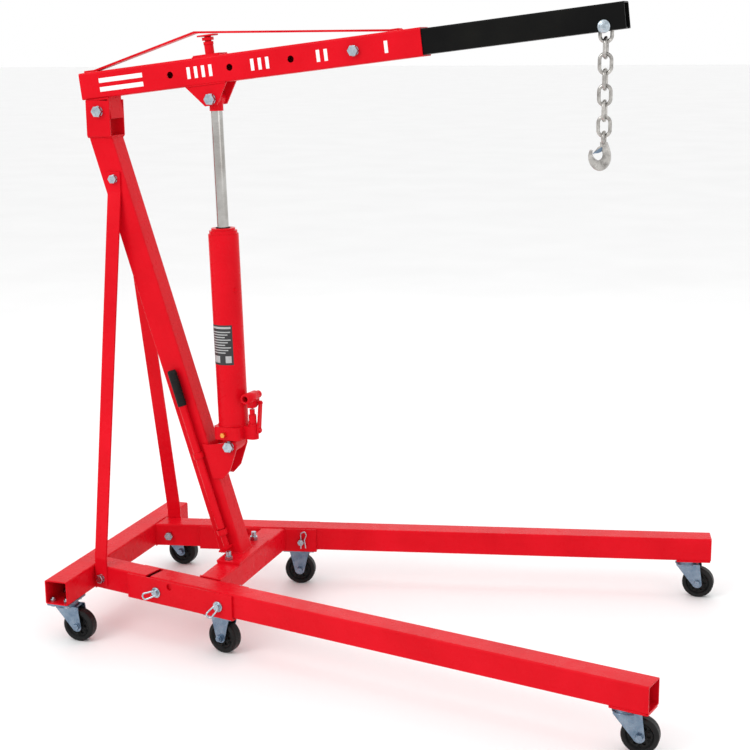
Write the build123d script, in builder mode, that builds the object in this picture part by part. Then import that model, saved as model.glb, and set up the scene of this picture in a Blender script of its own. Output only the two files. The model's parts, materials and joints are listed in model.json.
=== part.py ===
"""Folding engine hoist crane, built as separate pieces.

+X points forward, from the mast to the hook. +Y is the crane's left. +Z is up.
The origin is on the floor, in the middle of the crane's length and width.
All sizes are in millimetres.
"""
import os
from math import atan2, cos, degrees, hypot, radians, sin, tan

from build123d import *

os.makedirs("parts", exist_ok=True)

# ---------------------------------------------------------------- driving dimensions
overall_length = 1504.4               # from the boom's rear corner to the front casters
boom_overhang = 5.3                   # the boom's rear corner stands this far behind the rear beam
rear_x = boom_overhang - overall_length / 2   # rear face of the rear crossbeam
running_gap = 0.3                     # space between faces of different moving bodies
bearing_gap = 0.05                    # radial clearance of a shaft in its hole

# base frame
tube = 60.0                           # outside size of the base tubes and the mast
tube_wall = 3.0
tube_corner = 4.0
plate = 5.0                           # thickness of welded plates and flat bars
beam_bottom = 102.0                   # height of the base tubes above the floor
beam_top = beam_bottom + tube
rear_beam_length = 660.0
splay = 12.15                         # outward angle of the side tubes and legs, degrees
side_tube_outer_y = 194.4             # outer corner of a side tube where it leaves the rear beam
side_tube_length = 162.5              # all distances along a leg start at the rear beam's front face
side_tube_notch = 150.0
channel_start = 109.0
channel_end = 424.0
channel_height = 62.5
leg_start = 176.0
leg_end = 1452.0
pivot_s = 198.2                       # rear pin, on which the leg folds
lock_s = 384.2                        # front pin, pulled out to fold the leg
stop_hole_s = 238.7                   # spare hole that takes the front pin when the leg is up
pin_z = 127.0
stop_hole_z = 147.5
front_beam_x = rear_x + 377.0
middle_caster_s = 375.0
front_caster_s = 1424.0
rear_caster_x = rear_x + 33.0
rear_caster_y = 285.0

# mast
mast_tilt = 16.8                      # backward lean, degrees
mast_foot_x = rear_x + 356.5          # centre of the mast where it meets its foot plate
foot_plate_top = beam_top + 6.0
mast_top = 1200.0
head_plate_top = 1288.0
head_gap = 65.2
head_rear_x = rear_x + 13.0
head_front_x = rear_x + 77.0
boom_pivot = (rear_x + 46.0, 1262.0)
brace_bolt_low = (rear_x + 84.0, 131.0)
brace_bolt_high = (rear_x + 78.0, 1100.0)
brace_width = 35.0

# boom
boom_size = 64.0
boom_wall = 3.0
boom_slope = 6.6                      # upward slope at rest, degrees
boom_rear = (rear_x - 1.6, 1319.8)    # centre of the boom's rear end
boom_length = 871.5
hole_pitch = 155.4                    # spacing of the four load holes
first_hole = 244.0                    # first load hole, from the boom's rear end
load_hole_r = 8.0
extension_size = 57.4
extension_reach = 455.0               # visible length of the extension at rest
extension_overlap = 205.0             # length inside the boom at rest, where it is drawn out furthest
chain_pin_back = 47.0                 # chain bolt, back from the extension's tip
chain_pin_up = 10.5                   # chain bolt, above the extension's lower face

# ram
ram_foot = (rear_x + 363.0, 446.0)
ram_head = (rear_x + 343.5, 1292.0)
ram_cylinder_r = 37.0
ram_rod_r = 14.0
ram_cylinder_low = 50.0               # heights below are measured along the ram from its foot bolt
ram_cylinder_high = 525.0
pump_yaw = -8.0                      # direction of the pump arm about the ram, degrees
pump_reach = 56.0
release_valve_z = 31.0

# chain and hook
wire = 8.0
link_length = 50.0
link_width = 34.0
link_count = 7
link_pitch = link_length - wire - (wire + 0.4)

# casters
wheel_r = 40.0
wheel_width = 28.0
axle_r = 5.0
caster_trail = 32.0
fork_gap = 32.0
fork_sheet = 2.5
caster_plate_sheet = 4.0

# pump handle
handle_y = -43.5
handle_r = 9.5
grip_r = 11.0
handle_low = (rear_x + 351.0, 190.0)
handle_length = 462.0
grip_length = 92.0
swaged_r = 7.3                        # reduced lower end, which fits the pump's socket
swaged_length = 46.0
ring_heights = (30.0, 232.0)


# ---------------------------------------------------------------- helpers
def inclined(origin, angle):
    """Plane across a bar that runs in the XZ plane at `angle` degrees from +X; local x is +Y."""
    direction = (cos(radians(angle)), 0, sin(radians(angle)))
    return Plane(origin=(origin[0], 0, origin[1]), x_dir=(0, 1, 0), z_dir=direction)


def square_tube(base, length, size, wall, corner=tube_corner):
    """Hollow square tube that starts on `base` and runs along its normal."""
    with BuildPart() as made:
        with BuildSketch(base):
            RectangleRounded(size, size, corner)
            RectangleRounded(size - 2 * wall, size - 2 * wall, corner - wall * 0.8, mode=Mode.SUBTRACT)
        extrude(amount=length)
    return made.part


def bolt_and_nut(seat, grip, radius, tail=4.0):
    """Hex bolt with its head on `seat`, whose normal points away from the clamped parts, and its nut.

    `tail` is how far the thread stands out of the nut.
    """
    across_flats = 3.0 * radius
    head_height = 1.25 * radius
    nut_height = 1.6 * radius
    with BuildPart() as bolt:
        with BuildSketch(seat):
            Circle(1.65 * radius)
        extrude(amount=1.5)
        with BuildSketch(seat.offset(1.5)):
            RegularPolygon(across_flats / 2, 6, major_radius=False)
        extrude(amount=head_height)
        chamfer(bolt.faces().sort_by(Axis(seat.origin, seat.z_dir))[-1].edges(), 0.8)
        with BuildSketch(seat):
            Circle(radius)
        extrude(amount=-(grip + nut_height + tail))
    with BuildPart() as nut:
        with BuildSketch(seat.offset(-grip)):
            RegularPolygon(across_flats / 2, 6, major_radius=False)
            Circle(radius + bearing_gap, mode=Mode.SUBTRACT)
        extrude(amount=-nut_height)
    return [bolt.part, nut.part]


def bolt_along_y(x, z, half_grip, radius, head_side=-1):
    """Hex bolt and nut along Y through parts that reach from -half_grip to +half_grip."""
    seat = Plane(origin=(x, head_side * half_grip, z), x_dir=(1, 0, 0), z_dir=(0, head_side, 0))
    return bolt_and_nut(seat, 2 * half_grip, radius)


def bolt_ends_along_y(x, z, half_grip, radius, half_gap):
    """The same bolt and nut, with the shank left out between -half_gap and +half_gap."""
    bolt, nut = bolt_along_y(x, z, half_grip, radius)
    with BuildPart() as ends:
        add(bolt)
        with BuildSketch(Plane.XZ):
            with Locations((x, z)):
                Circle(radius + 1)
        extrude(amount=half_gap, both=True, mode=Mode.SUBTRACT)
    return [ends.part, nut]


def both_sides(shapes):
    """The given left-hand shapes with their right-hand mirror images."""
    return shapes + [mirror(shape, about=Plane.XZ) for shape in shapes]


def leg_plane(s, z, across=False):
    """Plane at distance s along the left leg's centre line.

    Local x runs along the leg and local y points outwards, or, with across=True, the normal runs
    along the leg and local x points outwards.
    """
    along = Vector(cos(radians(splay)), sin(radians(splay)), 0)
    outwards = Vector(-sin(radians(splay)), cos(radians(splay)), 0)
    origin = Vector(rear_x + tube, side_tube_outer_y, z) - outwards * tube / 2 + along * s
    if across:
        return Plane(origin=origin, x_dir=outwards, z_dir=along)
    return Plane(origin=origin, x_dir=along, z_dir=(0, 0, 1))


def leg_side_plane(s, z, offset):
    """Plane on the left leg's side, facing outwards, `offset` from the leg's centre line."""
    flat = leg_plane(s, z)
    origin = flat.origin + flat.y_dir * offset
    return Plane(origin=origin, x_dir=flat.x_dir, z_dir=flat.y_dir)


pieces = {}


def keep(name, part):
    """Label a finished piece and put it on the list of pieces to write."""
    part.label = name
    pieces[name] = part


# ---------------------------------------------------------------- base frame
beam_middle = (beam_bottom + beam_top) / 2

rear_beam_start = Plane(
    origin=(rear_x + tube / 2, -rear_beam_length / 2, beam_middle), x_dir=(1, 0, 0), z_dir=(0, 1, 0)
)
rear_beam_tube = square_tube(rear_beam_start, rear_beam_length, tube, tube_wall)
bolt_grid_x = 18.0
rear_plate_x = rear_x + tube / 2
bolt_grid_y = 30.0
caster_bolt_r = 4.0
with BuildPart() as rear_crossbeam:
    add(rear_beam_tube)
    for side in (-1, 1):
        with BuildSketch(Plane.XY.offset(beam_bottom)):
            with Locations((rear_caster_x, side * rear_caster_y)):
                Circle(7)
            with Locations((rear_plate_x, side * rear_caster_y)):
                with GridLocations(2 * bolt_grid_x, 2 * bolt_grid_y, 2, 2):
                    Circle(caster_bolt_r + bearing_gap)
        extrude(amount=tube_wall, mode=Mode.SUBTRACT)
keep("rear_crossbeam", rear_crossbeam.part)

# Side tubes leave the rear beam at the splay angle. Their lower end is cut back so that the
# rear corner of a folding leg can swing through.
side_tube_blank = square_tube(leg_plane(-40, beam_middle, across=True), side_tube_length + 40, tube, tube_wall)
with BuildPart() as side_tube_left:
    add(side_tube_blank)
    split(bisect_by=Plane(origin=(rear_x + tube, 0, 0), z_dir=(1, 0, 0)), keep=Keep.TOP)
    with BuildSketch(leg_plane((side_tube_length + side_tube_notch) / 2, beam_bottom)):
        Rectangle(side_tube_length - side_tube_notch, tube + 2)
    extrude(amount=tube - 7, mode=Mode.SUBTRACT)
    brace_s = (brace_bolt_low[0] - rear_x - tube) / cos(radians(splay))
    with BuildSketch(leg_side_plane(brace_s, brace_bolt_low[1], -tube)):
        Circle(7 + bearing_gap)
    extrude(amount=2 * tube, mode=Mode.SUBTRACT)
with BuildPart() as side_tubes:
    add(both_sides([side_tube_left.part]))
keep("side_tubes", side_tubes.part)

# U channels that carry the legs.
with BuildPart() as leg_channel_left:
    with BuildSketch(leg_plane(channel_start, beam_bottom - plate, across=True)):
        with Locations((0, channel_height / 2)):
            Rectangle(tube + 2 * plate, channel_height)
        with Locations((0, plate + channel_height / 2)):
            Rectangle(tube, channel_height, mode=Mode.SUBTRACT)
    extrude(amount=channel_end - channel_start)
    along_leg = Axis((0, 0, 0), leg_plane(0, 0).x_dir)
    fillet(leg_channel_left.edges().filter_by(along_leg).sort_by(Axis.Z)[:2], 4)
    for s, z in ((pivot_s, pin_z), (lock_s, pin_z), (stop_hole_s, stop_hole_z)):
        with BuildSketch(leg_side_plane(s, z, -tube)):
            Circle(8 + bearing_gap)
        extrude(amount=2 * tube, mode=Mode.SUBTRACT)
with BuildPart() as leg_channels:
    add(both_sides([leg_channel_left.part]))
keep("leg_channels", leg_channels.part)

# Front crossbeam, cut to fit between the inner walls of the channels.
front_beam_blank = square_tube(
    Plane(origin=(front_beam_x, 0, beam_middle), x_dir=(1, 0, 0), z_dir=(0, 1, 0)), 300, tube, tube_wall
)
foot_bolt_y = 78.0
foot_bolt_x = front_beam_x - 5
foot_bolt_r = 6.0
with BuildPart() as front_beam_half:
    add(front_beam_blank)
    split(bisect_by=leg_side_plane(0, 0, -(tube / 2 + plate)), keep=Keep.BOTTOM)
    with BuildSketch(Plane.XY.offset(beam_top)):
        with Locations((foot_bolt_x, foot_bolt_y)):
            Circle(foot_bolt_r + bearing_gap)
    extrude(amount=-tube_wall, mode=Mode.SUBTRACT)
with BuildPart() as front_crossbeam:
    add(both_sides([front_beam_half.part]))
keep("front_crossbeam", front_crossbeam.part)

# ---------------------------------------------------------------- legs
leg_lower = beam_bottom + running_gap
leg_wide = tube - 2 * running_gap
pin_r = 8.0
front_kingpin_s = front_caster_s - caster_trail
leg_blank = square_tube(
    leg_plane(leg_start, (leg_lower + beam_top) / 2, across=True), leg_end - leg_start, leg_wide, tube_wall
)
with BuildPart() as leg_left:
    add(leg_blank)
    # The rear end is rounded under the pin, so that it turns inside the channel. Local y points down.
    with BuildSketch(leg_side_plane(pivot_s, pin_z, -tube)):
        with BuildLine():
            turn_r = pin_z - leg_lower
            CenterArc((0, 0), turn_r, 90, 90)
            Polyline((-turn_r, 0), (-turn_r - 20, 0), (-turn_r - 20, turn_r + 20), (0, turn_r + 20),
                     (0, turn_r))
        make_face()
    extrude(amount=2 * tube, mode=Mode.SUBTRACT)
    for s, clearance in ((pivot_s, bearing_gap), (lock_s, bearing_gap)):
        with BuildSketch(leg_side_plane(s, pin_z, -tube)):
            Circle(pin_r + clearance)
        extrude(amount=2 * tube, mode=Mode.SUBTRACT)
    with BuildSketch(leg_plane(front_kingpin_s, leg_lower)):
        Circle(9)
    extrude(amount=tube_wall, mode=Mode.SUBTRACT)
keep("leg_left", leg_left.part)
keep("leg_right", mirror(leg_left.part, about=Plane.XZ))

# Mounting plate welded under a leg's front end.
with BuildPart() as front_caster_plate_left:
    with BuildSketch(leg_plane(leg_end - 44, leg_lower - caster_plate_sheet)):
        RectangleRounded(86, tube - 2, 4)
    extrude(amount=caster_plate_sheet)
    with BuildSketch(leg_plane(front_kingpin_s, leg_lower)):
        Circle(axle_r + bearing_gap)
    extrude(amount=-caster_plate_sheet, mode=Mode.SUBTRACT)
keep("front_caster_plate_left", front_caster_plate_left.part)
keep("front_caster_plate_right", mirror(front_caster_plate_left.part, about=Plane.XZ))

# ---------------------------------------------------------------- leg pins
# Each pin has a disc head with a bent wire pull outside, and a spring clip through its inner end.
# A folding pin runs right through; a lock pin is cut back to the channel's walls.
pin_outer = tube / 2 + plate
pin_inner_end = -(tube / 2 + plate + 14)
pull_wire_r = 2.25
pull_length = 30.0


def hitch_pin(s, through, pull):
    """A left-hand pin and its clip at distance s along the leg; `pull` is where its wire loop hangs."""
    head_seat = leg_side_plane(s, pin_z, pin_outer)
    with BuildPart() as pin:
        with BuildSketch(head_seat):
            Circle(13)
        extrude(amount=3.5)
        chamfer(pin.faces().sort_by(Axis(head_seat.origin, head_seat.z_dir))[-1].edges(), 0.8)
        with BuildSketch(head_seat):
            Circle(pin_r)
        extrude(amount=9)
        with BuildSketch(head_seat):
            Circle(pin_r)
        extrude(amount=pin_inner_end - pin_outer if through else -plate)
        if not through:
            with BuildSketch(leg_side_plane(s, pin_z, -tube / 2)):
                Circle(pin_r)
            extrude(amount=pin_inner_end + tube / 2)
    flat = leg_plane(s, pin_z)
    hang = (flat.x_dir * pull[0] + flat.y_dir * pull[1] + flat.z_dir * pull[2]).normalized()
    width = hang.cross(flat.y_dir).normalized()
    loop_plane = Plane(origin=flat.origin + flat.y_dir * (pin_outer + 6.5), x_dir=width,
                       z_dir=width.cross(hang))
    with BuildPart() as wire_pull:
        with BuildLine(loop_plane) as path:
            FilletPolyline((6, 0), (8, pull_length), (-8, pull_length), (-6, 0), radius=6.5)
        with BuildSketch(Plane(origin=path.line @ 0, z_dir=path.line % 0)):
            Circle(pull_wire_r)
        sweep()
    clip_plane = leg_side_plane(s, pin_z, pin_inner_end + 6)
    with BuildPart() as clip:
        with BuildLine(clip_plane) as clip_path:
            FilletPolyline((0, 18), (0, -24), (11, -30), (15, -20), (9.5, -6), (13, 16), radius=3.5)
        with BuildSketch(Plane(origin=clip_path.line @ 0, z_dir=clip_path.line % 0)):
            Circle(1.5)
        sweep()
    with BuildPart() as drilled_pin:
        add(pin.part)
        add(wire_pull.part)
        add(clip.part, mode=Mode.SUBTRACT)
    return drilled_pin.part, clip.part


folding_pin, folding_clip = hitch_pin(pivot_s, True, (-0.8, 0.5, -0.3))
lock_pin, lock_clip = hitch_pin(lock_s, False, (-0.5, 0.5, -0.7))
with BuildPart() as hitch_pins:
    add(both_sides([folding_pin, lock_pin]))
keep("hitch_pins", hitch_pins.part)
with BuildPart() as pin_clips:
    add(both_sides([folding_clip, lock_clip]))
keep("pin_clips", pin_clips.part)

# ---------------------------------------------------------------- casters
kingpin_r = axle_r
race_r = 25.0
fork_top = beam_bottom - caster_plate_sheet - running_gap
crown_top = fork_top - 8.0


def swivel_fork(base, top):
    """Swivel fork on `base`, a plane whose origin is on the floor under the kingpin."""
    drop = beam_bottom - caster_plate_sheet - running_gap - top
    crown = crown_top - drop
    side_face = Plane(origin=base.origin, x_dir=base.x_dir, z_dir=-base.y_dir)
    with BuildPart() as fork:
        with BuildSketch(base.offset(crown)):
            Circle(race_r)
        extrude(amount=top - crown)
        fillet(fork.edges().sort_by(Axis.Z)[-1], 2.5)
        with BuildSketch(base.offset(crown - fork_sheet)):
            Circle(race_r + 2)
            with Locations((caster_trail / 2, 0)):
                Rectangle(caster_trail, fork_gap + 2 * fork_sheet)
        extrude(amount=fork_sheet)
        for side in (-1, 1):
            with BuildSketch(side_face.offset(side * (fork_gap + fork_sheet) / 2)):
                with BuildLine():
                    Polyline((-race_r + 2, crown), (-race_r + 2, crown - 5), (caster_trail - 12, wheel_r - 6))
                    RadiusArc((caster_trail - 12, wheel_r - 6), (caster_trail + 12, wheel_r - 3), -13)
                    Polyline((caster_trail + 12, wheel_r - 3), (caster_trail + 5, crown),
                             (-race_r + 2, crown))
                make_face()
            extrude(amount=fork_sheet / 2, both=True)
        with BuildSketch(base.offset(top)):
            Circle(kingpin_r)
        extrude(amount=caster_plate_sheet + running_gap + 2)
    return fork.part


def axle_bolt(base):
    """Axle, from one fork side to the other, with its head and nut."""
    seat = Plane(
        origin=base.origin + base.x_dir * caster_trail + Vector(0, 0, wheel_r)
        - base.y_dir * (fork_gap / 2 + fork_sheet),
        x_dir=base.x_dir, z_dir=-base.y_dir,
    )
    return bolt_and_nut(seat, fork_gap + 2 * fork_sheet, axle_r)


def caster_group(name, base, top):
    """Fork with its axle, in one node."""
    fork = swivel_fork(base, top)
    axle, nut = axle_bolt(base)
    with BuildPart() as drilled_fork:
        add(fork)
        add(axle, mode=Mode.SUBTRACT)
    keep(name, Compound([drilled_fork.part.solid(), axle.solid(), nut.solid()]))


def wheel(base):
    """Solid wheel with a rounded tread, dished faces, a hub and a ring of round pockets."""
    half = wheel_width / 2
    hub_half = fork_gap / 2 - running_gap
    side_face = Plane(
        origin=base.origin + base.x_dir * caster_trail + Vector(0, 0, wheel_r),
        x_dir=base.x_dir, z_dir=-base.y_dir,
    )
    spin = Axis(side_face.origin, side_face.z_dir)
    with BuildPart() as disc:
        with BuildSketch(Plane(origin=side_face.origin, x_dir=side_face.z_dir, z_dir=base.x_dir)):
            with BuildLine():
                Polyline((0, axle_r + bearing_gap), (hub_half, axle_r + bearing_gap), (hub_half, 10),
                         (half - 5, 11.5), (half - 5, 26), (half, 30), (half, wheel_r - 6))
                RadiusArc((half, wheel_r - 6), (half - 6, wheel_r), -6)
                Line((half - 6, wheel_r), (0, wheel_r))
                mirror(about=Plane.YZ)
            make_face()
        revolve(axis=spin)
        for side in (-1, 1):
            with BuildSketch(side_face.offset(side * (half - 5))):
                with PolarLocations(18.5, 6):
                    Circle(4.4)
            extrude(amount=-side * 4, mode=Mode.SUBTRACT)
    return disc.part


def floor_plane(x, y, turn=0.0):
    """Plane on the floor whose local x trails behind the kingpin at `turn` degrees from +X."""
    return Plane(origin=(x, y, 0), x_dir=(cos(radians(turn)), sin(radians(turn)), 0), z_dir=(0, 0, 1))


front_kingpin = leg_plane(front_kingpin_s, 0).origin
swivel_casters = {
    "rear_left": (rear_caster_x, rear_caster_y, fork_top),
    "rear_right": (rear_caster_x, -rear_caster_y, fork_top),
    "front_left": (front_kingpin.X, front_kingpin.Y, fork_top + running_gap),
    "front_right": (front_kingpin.X, -front_kingpin.Y, fork_top + running_gap),
}
for spot, (x, y, top) in swivel_casters.items():
    base = floor_plane(x, y)
    caster_group(f"caster_fork_{spot}", base, top)
    keep(f"caster_wheel_{spot}", wheel(base))

# Swivel caster plates under the rear beam.
with BuildPart() as rear_caster_plates:
    for side in (-1, 1):
        with BuildSketch(Plane.XY.offset(beam_bottom - caster_plate_sheet)):
            with Locations((rear_plate_x, side * rear_caster_y)):
                RectangleRounded(tube - 2, 90, 5)
        extrude(amount=caster_plate_sheet)
        with BuildSketch(Plane.XY.offset(beam_bottom - caster_plate_sheet)):
            with Locations((rear_caster_x, side * rear_caster_y)):
                Circle(kingpin_r + bearing_gap)
            with Locations((rear_plate_x, side * rear_caster_y)):
                with GridLocations(2 * bolt_grid_x, 2 * bolt_grid_y, 2, 2):
                    Circle(caster_bolt_r + bearing_gap)
        extrude(amount=caster_plate_sheet, mode=Mode.SUBTRACT)
keep("rear_caster_plates", rear_caster_plates.part)

# Rigid casters under the channels: plate and two tapering sides, with the wheel between them.
middle_top = beam_bottom - plate
middle_axle_z = wheel_r
middle_base = leg_plane(middle_caster_s, 0)
middle_side = Plane(origin=middle_base.origin, x_dir=middle_base.x_dir, z_dir=-middle_base.y_dir)
middle_wheel_base = leg_plane(middle_caster_s - caster_trail, 0)
with BuildPart() as middle_fork_left:
    with BuildSketch(middle_base.offset(middle_top - fork_sheet)):
        RectangleRounded(84, tube, 4)
    extrude(amount=fork_sheet)
    for side in (-1, 1):
        with BuildSketch(middle_side.offset(side * (fork_gap + fork_sheet) / 2)):
            with BuildLine():
                Line((-27, middle_top), (27, middle_top))
                Line((27, middle_top), (12, middle_axle_z - 4))
                RadiusArc((12, middle_axle_z - 4), (-12, middle_axle_z - 4), 13)
                Line((-12, middle_axle_z - 4), (-27, middle_top))
            make_face()
        extrude(amount=fork_sheet / 2, both=True)
middle_axle, middle_nut = axle_bolt(middle_wheel_base)
with BuildPart() as drilled_middle_fork:
    add(middle_fork_left.part)
    add(middle_axle, mode=Mode.SUBTRACT)
middle_left = [drilled_middle_fork.part.solid(), middle_axle.solid(), middle_nut.solid()]
keep("middle_caster_forks", Compound(both_sides(middle_left)))
middle_wheel = wheel(middle_wheel_base)
keep("caster_wheel_middle_left", middle_wheel)
keep("caster_wheel_middle_right", mirror(middle_wheel, about=Plane.XZ))

# Bolts that hold the rear casters, with their nuts inside the beam.
caster_bolt_list = []
for dx in (-bolt_grid_x, bolt_grid_x):
    for dy in (-bolt_grid_y, bolt_grid_y):
        seat = Plane(origin=(rear_plate_x + dx, rear_caster_y + dy, beam_bottom - caster_plate_sheet),
                     z_dir=(0, 0, -1))
        caster_bolt_list += bolt_and_nut(seat, caster_plate_sheet + tube_wall, caster_bolt_r)

# ---------------------------------------------------------------- mast
mast_angle = 90 + mast_tilt
mast_base = inclined((mast_foot_x, foot_plate_top), mast_angle)
mast_slope = tan(radians(mast_tilt))
mast_length = (mast_top - foot_plate_top) / cos(radians(mast_tilt))
mast_blank = square_tube(mast_base.offset(-60), mast_length + 120, tube, tube_wall)
brace_bolt_r = 6.5
with BuildPart() as mast_tube:
    add(mast_blank)
    split(bisect_by=Plane.XY.offset(foot_plate_top), keep=Keep.TOP)
    split(bisect_by=Plane.XY.offset(mast_top), keep=Keep.BOTTOM)
    with BuildSketch(Plane.XZ):
        with Locations(brace_bolt_high):
            Circle(brace_bolt_r + bearing_gap)
    extrude(amount=tube, both=True, mode=Mode.SUBTRACT)
keep("mast_tube", mast_tube.part)

with BuildPart() as mast_foot_plate:
    with BuildSketch(Plane.XY.offset(beam_top)):
        with Locations((front_beam_x, 0)):
            RectangleRounded(64, 190, 5)
        with Locations((foot_bolt_x, foot_bolt_y), (foot_bolt_x, -foot_bolt_y)):
            Circle(foot_bolt_r + bearing_gap, mode=Mode.SUBTRACT)
    extrude(amount=foot_plate_top - beam_top)
keep("mast_foot_plate", mast_foot_plate.part)

# The foot bolts point up: their heads are inside the crossbeam and their nuts on the plate.
foot_seat_z = beam_top - tube_wall
foot_bolt_list = []
for side in (-1, 1):
    seat = Plane(origin=(foot_bolt_x, side * foot_bolt_y, foot_seat_z), z_dir=(0, 0, -1))
    foot_bolt_list += bolt_and_nut(seat, foot_plate_top - foot_seat_z, foot_bolt_r, 12.0)
with BuildPart() as base_bolts:
    add(both_sides(caster_bolt_list))
    add(foot_bolt_list)
keep("base_bolts", base_bolts.part)

# U-shaped head bracket, open to the front and rear, on top of the mast.
pivot_r = 8.0
head_sheet = 4.0
head_outer = head_gap / 2 + head_sheet
with BuildPart() as mast_head_bracket:
    with BuildSketch(Plane(origin=(head_rear_x, 0, mast_top), x_dir=(0, 1, 0), z_dir=(1, 0, 0))):
        with Locations((0, (head_plate_top - mast_top) / 2)):
            Rectangle(2 * head_outer, head_plate_top - mast_top)
        with Locations((0, head_sheet + (head_plate_top - mast_top) / 2)):
            Rectangle(head_gap, head_plate_top - mast_top, mode=Mode.SUBTRACT)
    extrude(amount=head_front_x - head_rear_x)
    fillet(mast_head_bracket.edges().filter_by(Axis.X).sort_by(Axis.Z)[:2], 5)
    with BuildSketch(Plane.XZ):
        with Locations(boom_pivot):
            Circle(pivot_r + bearing_gap)
    extrude(amount=tube, both=True, mode=Mode.SUBTRACT)
keep("mast_head_bracket", mast_head_bracket.part)

# Two plates on the mast's sides that hold the ram's foot.
def mast_front_x(z):
    """Front face of the mast at height z."""
    return mast_foot_x - (z - foot_plate_top) * mast_slope + tube / 2 / cos(radians(mast_tilt))


lug_top = 447.0
lug_low = 361.0
ram_lug_y = tube / 2 + plate / 2
with BuildPart() as mast_ram_lugs:
    for side in (-1, 1):
        with BuildSketch(Plane.XZ.offset(side * ram_lug_y)):
            with BuildLine():
                Polyline((mast_front_x(lug_top) - 14, lug_top), (mast_front_x(lug_top) + 10, lug_top),
                         (rear_x + 381, lug_top + 13), (rear_x + 382.5, lug_top - 5),
                         (rear_x + 363, 383), (rear_x + 343, lug_low),
                         (mast_front_x(lug_low) - 14, lug_low), (mast_front_x(lug_top) - 14, lug_top))
            make_face()
            with Locations(ram_foot):
                Circle(pivot_r + bearing_gap, mode=Mode.SUBTRACT)
        extrude(amount=plate / 2, both=True)
keep("mast_ram_lugs", mast_ram_lugs.part)

# Bolts on which the boom and the ram turn.
with BuildPart() as pivot_bolts:
    add(bolt_along_y(*boom_pivot, head_outer, pivot_r))
    add(bolt_along_y(*ram_foot, ram_lug_y + plate / 2, pivot_r))
keep("pivot_bolts", pivot_bolts.part)

# Flat-bar braces from the sides of the mast to the outer faces of the side tubes.
brace_low_z = 182.0
brace_high_z = 1068.0
brace_outer = leg_side_plane(brace_s, brace_bolt_low[1], tube / 2)
brace_slant_low = Plane(origin=brace_outer.origin + Vector(0, 0, brace_low_z - brace_bolt_low[1]),
                        x_dir=brace_outer.x_dir, z_dir=(0, 0, 1))
with BuildPart() as brace_left:
    with BuildSketch(brace_outer):
        with Locations((0, -(brace_low_z - brace_bolt_low[1]) / 2 + 8)):
            Rectangle(brace_width, brace_low_z - brace_bolt_low[1] + 16)
    extrude(amount=plate)
    with BuildSketch(Plane.XZ.offset(-tube / 2)):
        with Locations((brace_bolt_high[0], (brace_high_z + brace_bolt_high[1] + 18) / 2)):
            Rectangle(brace_width, brace_bolt_high[1] + 18 - brace_high_z)
    extrude(amount=-plate)
    with BuildSketch(brace_slant_low):
        with Locations((0, plate / 2)):
            Rectangle(brace_width, plate)
    with BuildSketch(Plane(origin=(brace_bolt_high[0], tube / 2, brace_high_z), x_dir=(1, 0, 0),
                           z_dir=(0, 0, 1))):
        with Locations((0, plate / 2)):
            Rectangle(brace_width, plate)
    loft(ruled=True)
    for spot in (brace_outer,
                 Plane(origin=(brace_bolt_high[0], 0, brace_bolt_high[1]), x_dir=(1, 0, 0), z_dir=(0, 1, 0))):
        with BuildSketch(spot):
            Circle(brace_bolt_r + bearing_gap)
        extrude(amount=tube, mode=Mode.SUBTRACT)
with BuildPart() as braces:
    add(both_sides([brace_left.part]))
keep("braces", braces.part)

low_seat = Plane(origin=brace_outer.origin + brace_outer.z_dir * plate, z_dir=brace_outer.z_dir)
with BuildPart() as brace_bolts:
    add(both_sides(bolt_and_nut(low_seat, tube + plate, brace_bolt_r)))
    add(bolt_along_y(*brace_bolt_high, tube / 2 + plate, brace_bolt_r))
keep("brace_bolts", brace_bolts.part)

# ---------------------------------------------------------------- boom
boom_base = inclined(boom_rear, boom_slope)
boom_blank = square_tube(boom_base, boom_length, boom_size, boom_wall, 5)


def on_boom(along, up=0.0):
    """Point (x, z) on the boom's middle plane, `along` from its rear end and `up` from its axis."""
    a = radians(boom_slope)
    return (boom_rear[0] + along * cos(a) - up * sin(a), boom_rear[1] + along * sin(a) + up * cos(a))


load_holes = [on_boom(first_hole + n * hole_pitch) for n in range(4)]
with BuildPart() as boom_tube:
    add(boom_blank)
    with BuildSketch(Plane.XZ):
        with Locations(*load_holes):
            Circle(load_hole_r)
    extrude(amount=boom_size, both=True, mode=Mode.SUBTRACT)
keep("boom_tube", boom_tube.part)

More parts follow.
